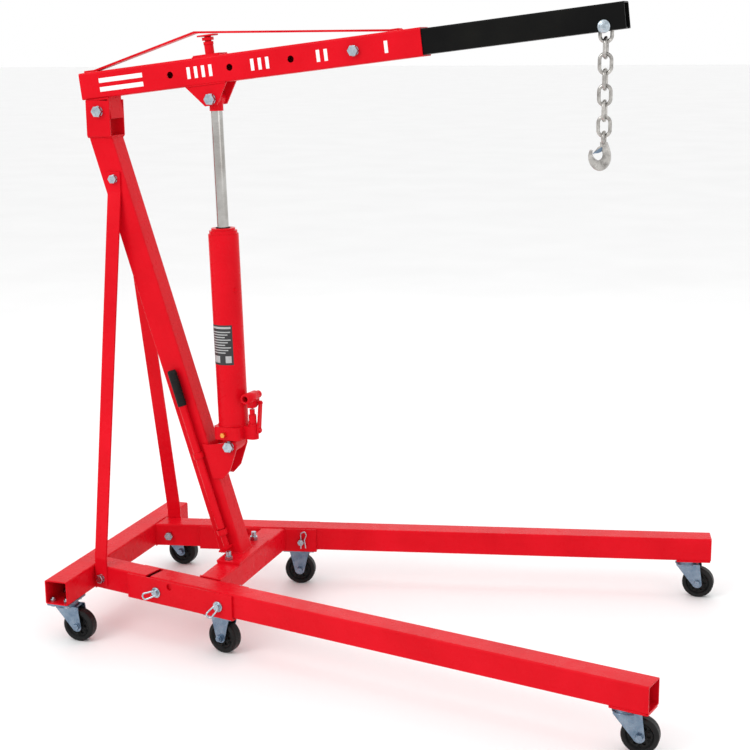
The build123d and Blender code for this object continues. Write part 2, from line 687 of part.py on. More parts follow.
# Welded under the boom: the hollow block that turns in the head bracket, and the two ram plates.
boom_face = Plane(origin=(boom_rear[0], 0, boom_rear[1]), x_dir=(cos(radians(boom_slope)), 0,
                  sin(radians(boom_slope))), z_dir=(0, -1, 0))
pivot_local = boom_face.to_local_coords(Vector(boom_pivot[0], 0, boom_pivot[1]))
head_local = boom_face.to_local_coords(Vector(ram_head[0], 0, ram_head[1]))
block_half = head_gap / 2 - 1.0
ram_plate_half = 30.0
with BuildPart() as boom_lugs:
    with BuildSketch(boom_face):
        with Locations((pivot_local.X, -boom_size / 2 - 26)):
            Rectangle(62, 52)
            Rectangle(52, 42, mode=Mode.SUBTRACT)
    extrude(amount=block_half, both=True)
    with BuildSketch(boom_face):
        with Locations((pivot_local.X, pivot_local.Y)):
            Circle(17)
    extrude(amount=block_half, both=True)
    with BuildSketch(boom_face):
        with Locations((pivot_local.X, pivot_local.Y)):
            Circle(pivot_r + bearing_gap)
    extrude(amount=tube, both=True, mode=Mode.SUBTRACT)
    for side in (-1, 1):
        with BuildSketch(boom_face.offset(side * (ram_plate_half - plate / 2))):
            with BuildLine():
                Polyline((head_local.X - 62, -boom_size / 2), (head_local.X - 17, head_local.Y - 15),
                         (head_local.X + 14, head_local.Y - 15), (head_local.X + 46, -boom_size / 2),
                         (head_local.X - 62, -boom_size / 2))
            make_face()
            with Locations((head_local.X, head_local.Y)):
                Circle(pivot_r + bearing_gap, mode=Mode.SUBTRACT)
        extrude(amount=plate / 2, both=True)
keep("boom_lugs", boom_lugs.part)

# Truss strap over the boom, tightened by a screw post.
strap_width = 22.0
strap_thick = 5.0
post_along = 340.0
boom_upper = boom_size / 2
strap_rear = 7.0
strap_front = 815.0
peak_up = boom_upper + 59.0
flat_half = 29.0
with BuildPart() as boom_strap:
    with BuildSketch(boom_face):
        with BuildLine() as strap_line:
            Polyline((strap_rear, boom_upper + strap_thick / 2), (strap_rear + 26, boom_upper + strap_thick / 2),
                     (post_along - flat_half, peak_up), (post_along + flat_half, peak_up - 6.7),
                     (strap_front - 20, boom_upper + strap_thick / 2), (strap_front, boom_upper + strap_thick / 2))
            offset(amount=strap_thick / 2, side=Side.BOTH)
        make_face()
    extrude(amount=strap_width / 2, both=True)
keep("boom_strap", boom_strap.part)

post_base = inclined(on_boom(post_along, boom_upper), 90 + boom_slope)
post_height = peak_up - boom_upper - strap_thick
with BuildPart() as strap_post:
    with BuildSketch(post_base):
        RectangleRounded(52, 68, 3)
    extrude(amount=5)
    with BuildSketch(post_base.offset(5)):
        Circle(11)
    extrude(amount=22)
    with BuildSketch(post_base.offset(27)):
        Circle(12)
    extrude(amount=7)
    with BuildSketch(post_base.offset(34)):
        Circle(8)
    extrude(amount=3)
    with BuildSketch(post_base.offset(37)):
        RegularPolygon(12, 6, major_radius=False)
    extrude(amount=7)
    with BuildSketch(post_base.offset(44)):
        Circle(8)
    extrude(amount=post_height - 44 - 7.5)
    with BuildSketch(post_base.offset(post_height - 7.5)):
        RectangleRounded(strap_width + 10, 42, 2)
    extrude(amount=3.5)
keep("strap_post", strap_post.part)

# Extension that slides in the boom, with a bottom slot for the chain's first link.
extension_start = boom_length - extension_overlap
extension_end = boom_length + extension_reach
extension_blank = square_tube(inclined(on_boom(extension_start), boom_slope), extension_end - extension_start,
                              extension_size, boom_wall, 4)
chain_pin = on_boom(extension_end - chain_pin_back, -extension_size / 2 + chain_pin_up)
chain_bolt_r = 5.0
with BuildPart() as extension_tube:
    add(extension_blank)
    with BuildSketch(Plane.XZ):
        with Locations(chain_pin):
            Circle(chain_bolt_r + bearing_gap)
    extrude(amount=boom_size, both=True, mode=Mode.SUBTRACT)
    with BuildSketch(boom_face):
        with Locations((extension_end - chain_pin_back / 2 - 18, -extension_size / 2)):
            Rectangle(chain_pin_back + 42, 2 * boom_wall + 2)
    extrude(amount=8.5, both=True, mode=Mode.SUBTRACT)
    with BuildSketch(Plane.XZ):
        with Locations(load_holes[3]):
            Circle(load_hole_r)
    extrude(amount=boom_size, both=True, mode=Mode.SUBTRACT)
keep("extension_tube", extension_tube.part)

with BuildPart() as chain_bolt:
    add(bolt_along_y(*chain_pin, extension_size / 2, chain_bolt_r))
keep("chain_bolt", chain_bolt.part)

# The ram's head bolt and the extension's lock bolt. The first stops at the inner faces of the ram
# plates and the second inside the boom's walls, so that the rod and the extension can move.
with BuildPart() as boom_bolts:
    add(bolt_ends_along_y(*ram_head, ram_plate_half, pivot_r, ram_plate_half - plate))
    add(bolt_ends_along_y(*load_holes[3], boom_size / 2, load_hole_r - 0.5, boom_size / 2 - boom_wall))
keep("boom_bolts", boom_bolts.part)

# ---------------------------------------------------------------- ram
ram_angle = degrees(atan2(ram_head[1] - ram_foot[1], ram_head[0] - ram_foot[0]))
ram_reach = hypot(ram_head[0] - ram_foot[0], ram_head[1] - ram_foot[1])


def on_ram(height, yaw=0.0):
    """Plane across the ram, `height` along it from the foot bolt; local x is forward at yaw 0."""
    up = Vector(cos(radians(ram_angle)), 0, sin(radians(ram_angle)))
    forward = Vector(up.Z, 0, -up.X) * cos(radians(yaw)) + Vector(0, 1, 0) * sin(radians(yaw))
    return Plane(origin=Vector(ram_foot[0], 0, ram_foot[1]) + up * height, x_dir=forward, z_dir=up)


base_half = 37.0
pump_arm_r = 13.5
base_low = 17.0
rod_low = 330.0
rod_high = 818.0
cylinder_bore = 24.0
gland_high = 539.0
with BuildPart() as ram_base:
    with BuildSketch(on_ram(base_low, pump_yaw)):
        RectangleRounded(2 * base_half, 2 * base_half + 6, 12)
        with Locations((pump_reach / 2, 0)):
            Rectangle(pump_reach, 2 * pump_arm_r)
        with Locations((pump_reach, 0)):
            Circle(pump_arm_r)
    extrude(amount=ram_cylinder_low - base_low)
    with BuildSketch(on_ram(0)):
        Rectangle(36, tube - 1.2)
    extrude(amount=base_low)
    with BuildSketch(Plane.XZ):
        with Locations(ram_foot):
            Circle(18)
    extrude(amount=tube / 2 - 0.6, both=True)
    with BuildSketch(Plane.XZ):
        with Locations(ram_foot):
            Circle(pivot_r + bearing_gap)
    extrude(amount=tube, both=True, mode=Mode.SUBTRACT)
    with BuildSketch(on_ram(base_low + 10, pump_yaw)):
        with Locations((pump_reach, 0)):
            Circle(6.5 + bearing_gap)
    extrude(amount=tube, mode=Mode.SUBTRACT)
    valve_seat = Plane(origin=on_ram(release_valve_z, pump_yaw).from_local_coords((-4, -base_half - 3, 0)),
                       x_dir=on_ram(0, pump_yaw).x_dir, z_dir=-on_ram(0, pump_yaw).y_dir)
    with BuildSketch(valve_seat):
        Circle(5 + bearing_gap)
    extrude(amount=-20, mode=Mode.SUBTRACT)
keep("ram_base", ram_base.part)

with BuildPart() as ram_cylinder:
    with BuildSketch(on_ram(ram_cylinder_low)):
        Circle(ram_cylinder_r)
    extrude(amount=ram_cylinder_high - ram_cylinder_low)
    with BuildSketch(on_ram(ram_cylinder_low + 10)):
        Circle(cylinder_bore)
    extrude(amount=ram_cylinder_high - ram_cylinder_low, mode=Mode.SUBTRACT)
keep("ram_cylinder", ram_cylinder.part)

with BuildPart() as ram_gland:
    with BuildSketch(on_ram(ram_cylinder_high)):
        Circle(ram_cylinder_r - 3)
    extrude(amount=8)
    with BuildSketch(on_ram(ram_cylinder_high + 8)):
        Circle(ram_cylinder_r - 8)
    extrude(amount=gland_high - ram_cylinder_high - 8)
    with BuildSketch(on_ram(ram_cylinder_high - 20)):
        Circle(cylinder_bore)
    extrude(amount=20)
    with BuildSketch(on_ram(ram_cylinder_high - 20)):
        Circle(ram_rod_r + bearing_gap)
    extrude(amount=60, mode=Mode.SUBTRACT)
keep("ram_gland", ram_gland.part)

with BuildPart() as ram_rod:
    with BuildSketch(on_ram(rod_low)):
        Circle(ram_rod_r)
    extrude(amount=rod_high - rod_low)
    with BuildSketch(on_ram(rod_low - 22)):
        Circle(cylinder_bore - bearing_gap)
    extrude(amount=22)
keep("ram_rod", ram_rod.part)

with BuildPart() as ram_rod_head:
    with BuildSketch(on_ram(rod_high)):
        Circle(ram_rod_r + 2.5)
    extrude(amount=ram_reach - rod_high)
    with BuildSketch(Plane.XZ):
        with Locations(ram_head):
            Circle(16)
    extrude(amount=ram_plate_half - plate - 0.5, both=True)
    with BuildSketch(Plane.XZ):
        with Locations(ram_head):
            Circle(pivot_r + bearing_gap)
    extrude(amount=tube, both=True, mode=Mode.SUBTRACT)
keep("ram_rod_head", ram_rod_head.part)

# ---------------------------------------------------------------- pump
pump_top = 78.0
lever_pivot = (pump_reach + 8.0, 14.0, 106.0)
lever_tube_r = 9.5
lever_bore_r = 7.5
lever_up = 124.0


def on_pump(forward, side, height):
    """Point at local (forward, side) in the pump's own plan, `height` along the ram."""
    return on_ram(height, pump_yaw).from_local_coords((forward, side, 0))


pump_side = on_ram(0, pump_yaw).y_dir
pump_forward = on_ram(0, pump_yaw).x_dir
plunger_r = 6.5
with BuildPart() as pump_cylinder:
    with BuildSketch(on_ram(ram_cylinder_low, pump_yaw)):
        with Locations((pump_reach, 0)):
            Circle(12.5)
    extrude(amount=6)
    with BuildSketch(on_ram(ram_cylinder_low, pump_yaw)):
        with Locations((pump_reach, 0)):
            Circle(9.5)
    extrude(amount=pump_top - ram_cylinder_low)
    with BuildSketch(on_ram(ram_cylinder_low, pump_yaw)):
        with Locations((pump_reach, 0)):
            Circle(plunger_r + bearing_gap)
    extrude(amount=40, mode=Mode.SUBTRACT)
keep("pump_cylinder", pump_cylinder.part)

with BuildPart() as pump_plunger:
    with BuildSketch(on_ram(base_low + 26, pump_yaw)):
        with Locations((pump_reach, 0)):
            Circle(plunger_r)
    extrude(amount=lever_pivot[2] - 14 - base_low - 26)
keep("pump_plunger", pump_plunger.part)

link_sheet = 5.0
with BuildPart() as pump_link:
    link_face = Plane(origin=on_pump(pump_reach + pump_arm_r + link_sheet / 2, 0, 0), x_dir=pump_side,
                      z_dir=pump_forward)
    with BuildSketch(link_face):
        with BuildLine():
            Polyline((-7, 32), (7, 32), (lever_pivot[1] + 6, lever_pivot[2]))
            RadiusArc((lever_pivot[1] + 6, lever_pivot[2]), (lever_pivot[1] - 6, lever_pivot[2]), -6)
            Line((lever_pivot[1] - 6, lever_pivot[2]), (-7, 32))
        make_face()
        with Locations((lever_pivot[1], lever_pivot[2])):
            Circle(3 + bearing_gap, mode=Mode.SUBTRACT)
    extrude(amount=link_sheet / 2, both=True)
    with BuildSketch(link_face.offset(link_sheet / 2)):
        with Locations((0, 40)):
            RegularPolygon(6, 6)
    extrude(amount=4)
keep("pump_link", pump_link.part)

# Socket for the pump handle, with a web and a pin that turns in the link.
with BuildPart() as pump_lever:
    with BuildSketch(Plane(origin=on_pump(lever_pivot[0] - 6, -34, lever_up), z_dir=pump_side)):
        Circle(lever_tube_r)
    extrude(amount=64)
    with BuildSketch(Plane(origin=on_pump(pump_reach, 0, 0), x_dir=pump_side, z_dir=pump_forward)):
        with BuildLine():
            Polyline((-12, lever_up), (-9, lever_pivot[2] - 10), (9, lever_pivot[2] - 10),
                     (lever_pivot[1] + 7, lever_pivot[2] - 4), (lever_pivot[1] + 12, lever_up), (-12, lever_up))
        make_face()
    extrude(amount=8, both=True)
    with BuildSketch(Plane(origin=on_pump(pump_reach, lever_pivot[1], lever_pivot[2]), z_dir=pump_forward)):
        Circle(3)
    extrude(amount=pump_arm_r + link_sheet + 3)
    with BuildSketch(Plane(origin=on_pump(lever_pivot[0] - 6, -34, lever_up), z_dir=pump_side)):
        Circle(lever_bore_r)
    extrude(amount=52, mode=Mode.SUBTRACT)
keep("pump_lever", pump_lever.part)

with BuildPart() as release_valve:
    with BuildSketch(valve_seat.offset(-18)):
        Circle(5)
    extrude(amount=18)
    with BuildSketch(valve_seat.offset(running_gap)):
        RegularPolygon(6.5, 6)
    extrude(amount=9)
    with BuildSketch(valve_seat):
        Circle(5)
    extrude(amount=1)
keep("release_valve", release_valve.part)

filler_height = 390.0
filler_seat = Plane(origin=on_ram(filler_height, pump_yaw).from_local_coords((ram_cylinder_r * 0.94, -ram_cylinder_r
                    * 0.34, 0)), z_dir=pump_forward * 0.94 - pump_side * 0.34)
with BuildPart() as filler_plug:
    with BuildSketch(filler_seat.offset(-4)):
        Circle(5.5)
    extrude(amount=7)
keep("filler_plug", filler_plug.part)

# ---------------------------------------------------------------- pump handle and its rings
handle_base = inclined(handle_low, mast_angle)
handle_plane = Plane(origin=handle_base.origin + Vector(0, handle_y, 0), x_dir=handle_base.x_dir,
                     z_dir=handle_base.z_dir)
with BuildPart() as handle_tube:
    with BuildSketch(handle_plane):
        Circle(swaged_r)
    extrude(amount=swaged_length)
    with BuildSketch(handle_plane.offset(swaged_length)):
        Circle(handle_r)
    extrude(amount=handle_length - 4 - swaged_length)
    with BuildSketch(handle_plane):
        Circle(swaged_r - 2)
    extrude(amount=handle_length, mode=Mode.SUBTRACT)
keep("handle_tube", handle_tube.part)

with BuildPart() as handle_grip:
    with BuildSketch(handle_plane.offset(handle_length - grip_length)):
        Circle(grip_r)
    extrude(amount=grip_length)
    fillet(handle_grip.edges().sort_by(Axis(handle_plane.origin, handle_plane.z_dir))[-1], 4)
    with BuildSketch(handle_plane.offset(handle_length - grip_length)):
        Circle(handle_r)
    extrude(amount=grip_length - 4, mode=Mode.SUBTRACT)
keep("handle_grip", handle_grip.part)

with BuildPart() as handle_rings:
    for height in ring_heights:
        with BuildSketch(handle_plane.offset(height)):
            Circle(handle_r + 3)
            with Locations((-(handle_y + tube / 2) / 2, 0)):
                Rectangle(abs(handle_y + tube / 2), 2 * handle_r)
            Circle(handle_r + running_gap, mode=Mode.SUBTRACT)
        extrude(amount=14)
    with BuildSketch(handle_plane.offset(-6)):
        with Locations((1, 0)):
            Rectangle(2 * handle_r + 6, 2 * handle_r)
    extrude(amount=6)
keep("handle_rings", handle_rings.part)

# ---------------------------------------------------------------- chain, hook and latch
link_bend_r = (link_width - wire) / 2
link_straight = link_length - link_width


def chain_link(top, across):
    """Link whose upper wire centre is at `top`; across=True turns its plane to face +X."""
    side = (0, 1, 0) if across else (1, 0, 0)
    facing = (1, 0, 0) if across else (0, -1, 0)
    middle = top - Vector(0, 0, link_bend_r + link_straight / 2)
    plane = Plane(origin=middle, x_dir=side, z_dir=facing)
    with BuildPart() as link:
        with BuildLine(plane) as path:
            half = link_straight / 2
            Line((link_bend_r, -half), (link_bend_r, half))
            CenterArc((0, half), link_bend_r, 0, 180)
            Line((-link_bend_r, half), (-link_bend_r, -half))
            CenterArc((0, -half), link_bend_r, 180, 180)
        with BuildSketch(Plane(origin=path.line @ 0, z_dir=path.line % 0)):
            Circle(wire / 2)
        sweep(transition=Transition.ROUND)
    return link.part


link_top = Vector(chain_pin[0], 0, chain_pin[1] + chain_bolt_r + wire / 2 + running_gap)
for number in range(link_count):
    top = link_top - Vector(0, 0, number * link_pitch)
    keep(f"chain_link_{number + 1}", chain_link(top, number % 2 == 1))

eye_top = link_top - Vector(0, 0, link_count * link_pitch)
eye_r = 12.0
eye_middle = eye_top - Vector(0, 0, eye_r)
hook_face = Plane(origin=(eye_top.X, 0, eye_top.Z), x_dir=(1, 0, 0), z_dir=(0, -1, 0))
hook_half = 7.0
latch_pivot = (-1.5, -31.5)
latch_pin_r = 1.5
with BuildPart() as hook:
    with BuildSketch(hook_face):
        with BuildLine():
            Spline((-7, -21), (-5, -33), (-1, -45), (-3, -56), (-11, -61), (-20, -57), (-23.5, -40))
            Line((-23.5, -40), (-29, -38))
            Spline((-29, -38), (-32.5, -52), (-28, -70), (-17, -81), (-5, -84), (9, -76), (16, -58), (14, -40),
                   (8, -23))
            Line((8, -23), (6.5, -21))
            Line((6.5, -21), (-7, -21))
        make_face()
    extrude(amount=hook_half, both=True)
    chamfer(hook.faces().filter_by(Axis.Y).edges().filter_by(GeomType.BSPLINE), 1.2)
    with BuildSketch(Plane(origin=eye_top, x_dir=(1, 0, 0), z_dir=(0, -1, 0))):
        Circle(wire / 2)
    revolve(axis=Axis(eye_middle, (1, 0, 0)))
    with BuildSketch(hook_face):
        with Locations(latch_pivot):
            Circle(latch_pin_r + bearing_gap)
    extrude(amount=2 * hook_half, both=True, mode=Mode.SUBTRACT)
keep("hook", hook.part)

# Spring latch: two ears beside the shank, the pin through it, and the tongue that closes the mouth.
latch_half = hook_half + running_gap + 1.5
with BuildPart() as hook_latch:
    with BuildSketch(hook_face):
        with Locations(latch_pivot):
            Circle(latch_pin_r)
    extrude(amount=latch_half + 1, both=True)
    for side in (-1, 1):
        with BuildSketch(hook_face.offset(side * (latch_half - 0.75))):
            with BuildLine():
                Polyline((-9.5, -36), (-11.5, -32), (-3.5, -28), (1.5, -28.5), (2, -34.5), (-9.5, -36))
            make_face()
        extrude(amount=0.75, both=True)
    with BuildSketch(hook_face):
        with BuildLine():
            Polyline((-9.5, -36), (-11.5, -32), (-13.2, -34.6), (-11.2, -38), (-9.5, -36))
        make_face()
    extrude(amount=latch_half, both=True)
    with BuildSketch(hook_face):
        with BuildLine():
            Polyline((-11.2, -38), (-13.2, -34.6), (-21.6, -44.5), (-20, -46), (-11.2, -38))
        make_face()
    extrude(amount=5, both=True)
keep("hook_latch", hook_latch.part)

for name, piece in pieces.items():
    export_step(piece, f"parts/{name}.step")
print(len(pieces), "pieces written")
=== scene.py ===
"""Looks of a folding engine hoist crane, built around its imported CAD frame. All sizes are in metres."""
import json
from math import cos, pi, radians, sin

import bpy
from mathutils import Euler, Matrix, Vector


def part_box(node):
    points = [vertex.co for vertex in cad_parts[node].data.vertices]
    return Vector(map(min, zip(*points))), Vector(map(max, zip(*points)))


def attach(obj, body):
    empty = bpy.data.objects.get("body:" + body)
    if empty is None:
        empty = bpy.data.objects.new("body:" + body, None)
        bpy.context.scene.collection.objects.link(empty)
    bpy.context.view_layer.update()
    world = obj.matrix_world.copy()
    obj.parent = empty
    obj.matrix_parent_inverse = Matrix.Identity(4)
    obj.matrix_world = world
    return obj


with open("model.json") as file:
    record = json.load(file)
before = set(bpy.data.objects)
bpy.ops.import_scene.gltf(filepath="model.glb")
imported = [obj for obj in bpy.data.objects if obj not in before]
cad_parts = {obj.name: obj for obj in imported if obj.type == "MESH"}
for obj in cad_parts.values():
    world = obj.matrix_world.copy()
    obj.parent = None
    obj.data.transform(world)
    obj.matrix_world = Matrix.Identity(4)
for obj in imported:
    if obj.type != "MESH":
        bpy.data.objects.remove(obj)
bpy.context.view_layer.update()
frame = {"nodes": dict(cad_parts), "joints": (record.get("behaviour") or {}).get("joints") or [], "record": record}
record = frame["record"]
joints = {joint["name"]: joint for joint in frame["joints"]}
slot_of = {entry["node"]: entry["material_slot"] for entry in record["subparts"]}


# ---------------------------------------------------------------- places read from the frame
UP = Vector((0, 0, 1))
CORNERS = ((-1, -1), (1, -1), (1, 1), (-1, 1))      # of a rectangle, in order round it


def joint_place(name):
    return Vector(joints[name]["pos_m"])


def joint_axis(name):
    return Vector(joints[name]["axis"]).normalized()


boom_along = joint_axis("extension_slide")
boom_up = Vector((-boom_along.z, 0, boom_along.x))
boom_low, boom_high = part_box("boom_tube")
boom_half = (boom_high.y - boom_low.y) / 2
boom_rear = Vector((boom_low.x + boom_half * boom_along.z, 0, boom_low.z + boom_half * boom_along.x))


def on_boom(along, up, y):
    """Point on the boom: distance from its rear end, height over its axis, and y."""
    return boom_rear + boom_along * along + boom_up * up + Vector((0, y, 0))


mast_along = joint_axis("handle_lift")
mast_forward = Vector((mast_along.z, 0, -mast_along.x))
mast_low, mast_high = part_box("mast_tube")
mast_half = (mast_high.y - mast_low.y) / 2
mast_half_x = mast_half / mast_along.z          # half of the mast's level cut

ram_along = joint_axis("ram_stroke")
ram_foot = joint_place("ram_pivot")
ram_forward = Vector((ram_along.z, 0, -ram_along.x))


def on_ram(height, radius=0.0, turn=0.0):
    """Point around the ram: height from its foot bolt, radius, and angle from straight ahead."""
    out = ram_forward * cos(turn) + Vector((0, sin(turn), 0))
    return ram_foot + ram_along * height + out * radius


fold_axis = joint_axis("leg_fold_left")
leg_out = Vector((-fold_axis.x, -fold_axis.y, 0))
leg_along = Vector((leg_out.y, -leg_out.x, 0))
leg_pin = joint_place("leg_fold_left")


def on_leg(along, out, z, side=1):
    """Point on a leg: distance ahead of its folding pin, distance outwards from its middle, and height."""
    point = leg_pin + leg_along * along + leg_out * out
    return Vector((point.x, side * point.y, z))


# ---------------------------------------------------------------- materials
def new_material(name):
    material = bpy.data.materials.new(name)
    material.use_nodes = True
    nodes = material.node_tree.nodes
    return material, nodes, material.node_tree.links, nodes["Principled BSDF"]


def noise(nodes, links, coordinates, scale, detail=4.0, roughness=0.55):
    node = nodes.new("ShaderNodeTexNoise")
    node.inputs["Scale"].default_value = scale
    node.inputs["Detail"].default_value = detail
    node.inputs["Roughness"].default_value = roughness
    links.new(coordinates, node.inputs["Vector"])
    return node.outputs["Fac"]


def ramp(nodes, links, value, stops):
    """Colour ramp over `stops`, a list of (position, colour)."""
    node = nodes.new("ShaderNodeValToRGB")
    node.color_ramp.elements[0].position = stops[0][0]
    node.color_ramp.elements[0].color = (*stops[0][1], 1)
    node.color_ramp.elements[1].position = stops[-1][0]
    node.color_ramp.elements[1].color = (*stops[-1][1], 1)
    for position, colour in stops[1:-1]:
        node.color_ramp.elements.new(position).color = (*colour, 1)
    links.new(value, node.inputs["Fac"])
    return node.outputs["Color"]


def spread(nodes, links, value, low, high):
    """The value from 0 to 1, mapped to the range from low to high."""
    node = nodes.new("ShaderNodeMapRange")
    node.inputs["To Min"].default_value = low
    node.inputs["To Max"].default_value = high
    node.inputs["From Min"].default_value = 0.3
    node.inputs["From Max"].default_value = 0.7
    links.new(value, node.inputs["Value"])
    return node.outputs["Result"]


def object_coordinates(nodes):
    return nodes.new("ShaderNodeTexCoord").outputs["Object"]


def rounded_normal(nodes, radius):
    node = nodes.new("ShaderNodeBevel")
    node.samples = 4
    node.inputs["Radius"].default_value = radius
    return node.outputs["Normal"]


def bump(nodes, links, height, strength, distance, normal=None):
    node = nodes.new("ShaderNodeBump")
    node.inputs["Strength"].default_value = strength
    node.inputs["Distance"].default_value = distance
    links.new(height, node.inputs["Height"])
    if normal is not None:
        links.new(normal, node.inputs["Normal"])
    return node.outputs["Normal"]


def painted_edge_highlight(nodes, links, coordinates, normal, amount):
    """Mask that is 1 in scattered spots along edges, where a lighter colour is painted on as an edge highlight; a
    larger `amount` gives more spots.
    """
    flat = nodes.new("ShaderNodeNewGeometry").outputs["Normal"]
    dot = nodes.new("ShaderNodeVectorMath")
    dot.operation = "DOT_PRODUCT"
    links.new(flat, dot.inputs[0])
    links.new(normal, dot.inputs[1])
    edge = nodes.new("ShaderNodeMapRange")
    edge.inputs["From Min"].default_value = 0.995
    edge.inputs["From Max"].default_value = 0.90
    links.new(dot.outputs["Value"], edge.inputs["Value"])
    highlight_spots = nodes.new("ShaderNodeMapRange")
    highlight_spots.inputs["From Min"].default_value = 0.60 - amount
    highlight_spots.inputs["From Max"].default_value = 0.66 - amount
    links.new(noise(nodes, links, coordinates, 95.0, 6.0, 0.7), highlight_spots.inputs["Value"])
    both = nodes.new("ShaderNodeMath")
    both.operation = "MULTIPLY"
    links.new(edge.outputs["Result"], both.inputs[0])
    links.new(highlight_spots.outputs["Result"], both.inputs[1])
    return both.outputs["Value"]


def mix_colour(nodes, links, factor, first, second):
    node = nodes.new("ShaderNodeMix")
    node.data_type = "RGBA"
    links.new(factor, node.inputs["Factor"])
    links.new(first, node.inputs["A"])
    node.inputs["B"].default_value = (*second, 1)
    return node.outputs["Result"]


def paint(name, dark, middle, light, edge_highlight_colour, edge_highlight_amount, rough):
    """Sprayed gloss paint: faint colour drift, orange peel, soft edges and a painted highlight in a few spots
    along them.
    """
    material, nodes, links, shader = new_material(name)
    coordinates = object_coordinates(nodes)
    drift = noise(nodes, links, coordinates, 7.0)
    colour = ramp(nodes, links, drift, [(0.3, dark), (0.5, middle), (0.72, light)])
    soft = rounded_normal(nodes, 0.0012)
    highlight_spot_mask = painted_edge_highlight(nodes, links, coordinates, soft, edge_highlight_amount)
    # painted edge highlight: a lighter colour mixed into spots along the edges
    links.new(mix_colour(nodes, links, highlight_spot_mask, colour, edge_highlight_colour), shader.inputs["Base Color"])
    smudges = noise(nodes, links, coordinates, 38.0, 5.0)
    links.new(spread(nodes, links, smudges, rough - 0.05, rough + 0.09), shader.inputs["Roughness"])
    peel = noise(nodes, links, coordinates, 620.0, 2.0)
    links.new(bump(nodes, links, peel, 0.12, 0.0004, soft), shader.inputs["Normal"])
    shader.inputs["Specular IOR Level"].default_value = 0.07
    return material


def plated_metal(name, dark, light, rough, scale):
    """Plated steel: cloudy tone, fine grain and softened edges."""
    material, nodes, links, shader = new_material(name)
    coordinates = object_coordinates(nodes)
    cloud = noise(nodes, links, coordinates, scale, 6.0, 0.65)
    links.new(ramp(nodes, links, cloud, [(0.3, dark), (0.7, light)]), shader.inputs["Base Color"])
    grain = noise(nodes, links, coordinates, 420.0, 3.0)
    links.new(spread(nodes, links, grain, rough - 0.07, rough + 0.1), shader.inputs["Roughness"])
    soft = rounded_normal(nodes, 0.0006)
    links.new(bump(nodes, links, grain, 0.08, 0.0003, soft), shader.inputs["Normal"])
    shader.inputs["Metallic"].default_value = 1.0
    return material


def ground_chrome():
    """Hard chrome with fine grinding rings and a trace of oil."""
    material, nodes, links, shader = new_material("rod_chrome")
    coordinates = object_coordinates(nodes)
    stretch = nodes.new("ShaderNodeMapping")
    stretch.inputs["Scale"].default_value = (1.0, 1.0, 60.0)
    links.new(coordinates, stretch.inputs["Vector"])
    rings = noise(nodes, links, stretch.outputs["Vector"], 30.0, 3.0)
    oil = noise(nodes, links, coordinates, 22.0, 4.0)
    tones = [(0.3, (0.36, 0.34, 0.32)), (0.7, (0.56, 0.55, 0.53))]
    links.new(ramp(nodes, links, oil, tones), shader.inputs["Base Color"])
    links.new(spread(nodes, links, rings, 0.10, 0.20), shader.inputs["Roughness"])
    links.new(bump(nodes, links, rings, 0.05, 0.0002), shader.inputs["Normal"])
    shader.inputs["Metallic"].default_value = 1.0
    return material


def moulded_black(name, light, rough, grain_scale, grain_height):
    """Black plastic or rubber with a moulded grain and dusty, slightly lighter patches."""
    material, nodes, links, shader = new_material(name)
    coordinates = object_coordinates(nodes)
    dust = noise(nodes, links, coordinates, 26.0, 6.0, 0.7)
    tones = [(0.35, (0.003, 0.003, 0.003)), (0.75, light)]
    links.new(ramp(nodes, links, dust, tones), shader.inputs["Base Color"])
    shader.inputs["Specular IOR Level"].default_value = 0.2
    grain = noise(nodes, links, coordinates, grain_scale, 4.0)
    links.new(spread(nodes, links, grain, rough - 0.08, rough + 0.12), shader.inputs["Roughness"])
    soft = rounded_normal(nodes, 0.0008)
    links.new(bump(nodes, links, grain, 0.25, grain_height, soft), shader.inputs["Normal"])
    return material


def printed(name, colour):
    """Flat printing ink with a little mottle and worn grain."""
    material, nodes, links, shader = new_material(name)
    coordinates = object_coordinates(nodes)
    mottle = noise(nodes, links, coordinates, 160.0, 5.0, 0.7)
    dim = tuple(0.86 * c for c in colour)
    links.new(ramp(nodes, links, mottle, [(0.35, dim), (0.6, colour)]), shader.inputs["Base Color"])
    links.new(spread(nodes, links, mottle, 0.38, 0.52), shader.inputs["Roughness"])
    links.new(bump(nodes, links, mottle, 0.1, 0.0002), shader.inputs["Normal"])
    return material


red = paint(
    "red_paint",
    dark=(0.60, 0.003, 0.010),
    middle=(0.65, 0.004, 0.012),
    light=(0.70, 0.005, 0.015),
    # lighter red painted along the edges as a highlight
    edge_highlight_colour=(0.74, 0.05, 0.05),
    edge_highlight_amount=-0.04,
    rough=0.27,
)
black = paint(
    "black_paint",
    dark=(0.003, 0.003, 0.003),
    middle=(0.004, 0.004, 0.004),
    light=(0.007, 0.007, 0.006),
    # lighter grey painted along the edges as a highlight
    edge_highlight_colour=(0.05, 0.05, 0.05),
    edge_highlight_amount=0.0,
    rough=0.36,
)
zinc = plated_metal("zinc_plate", (0.11, 0.17, 0.25), (0.28, 0.35, 0.43), 0.30, 34.0)
steel = plated_metal("fastener_steel", (0.28, 0.35, 0.41), (0.56, 0.62, 0.66), 0.24, 80.0)
galvanised = plated_metal("chain_zinc", (0.20, 0.19, 0.18), (0.62, 0.60, 0.57), 0.26, 60.0)
chrome = ground_chrome()
wheel_black = moulded_black("wheel_rubber", (0.012, 0.012, 0.012), 0.42, 300.0, 0.0005)
grip_black = moulded_black("grip_rubber", (0.012, 0.012, 0.012), 0.60, 500.0, 0.0006)
brass = plated_metal("brass", (0.70, 0.26, 0.05), (0.92, 0.42, 0.10), 0.34, 90.0)
white_ink = printed("white_ink", (0.86, 0.86, 0.85))
grey_ink = printed("grey_ink", (0.42, 0.43, 0.43))
label_black = printed("label_black", (0.018, 0.019, 0.020))

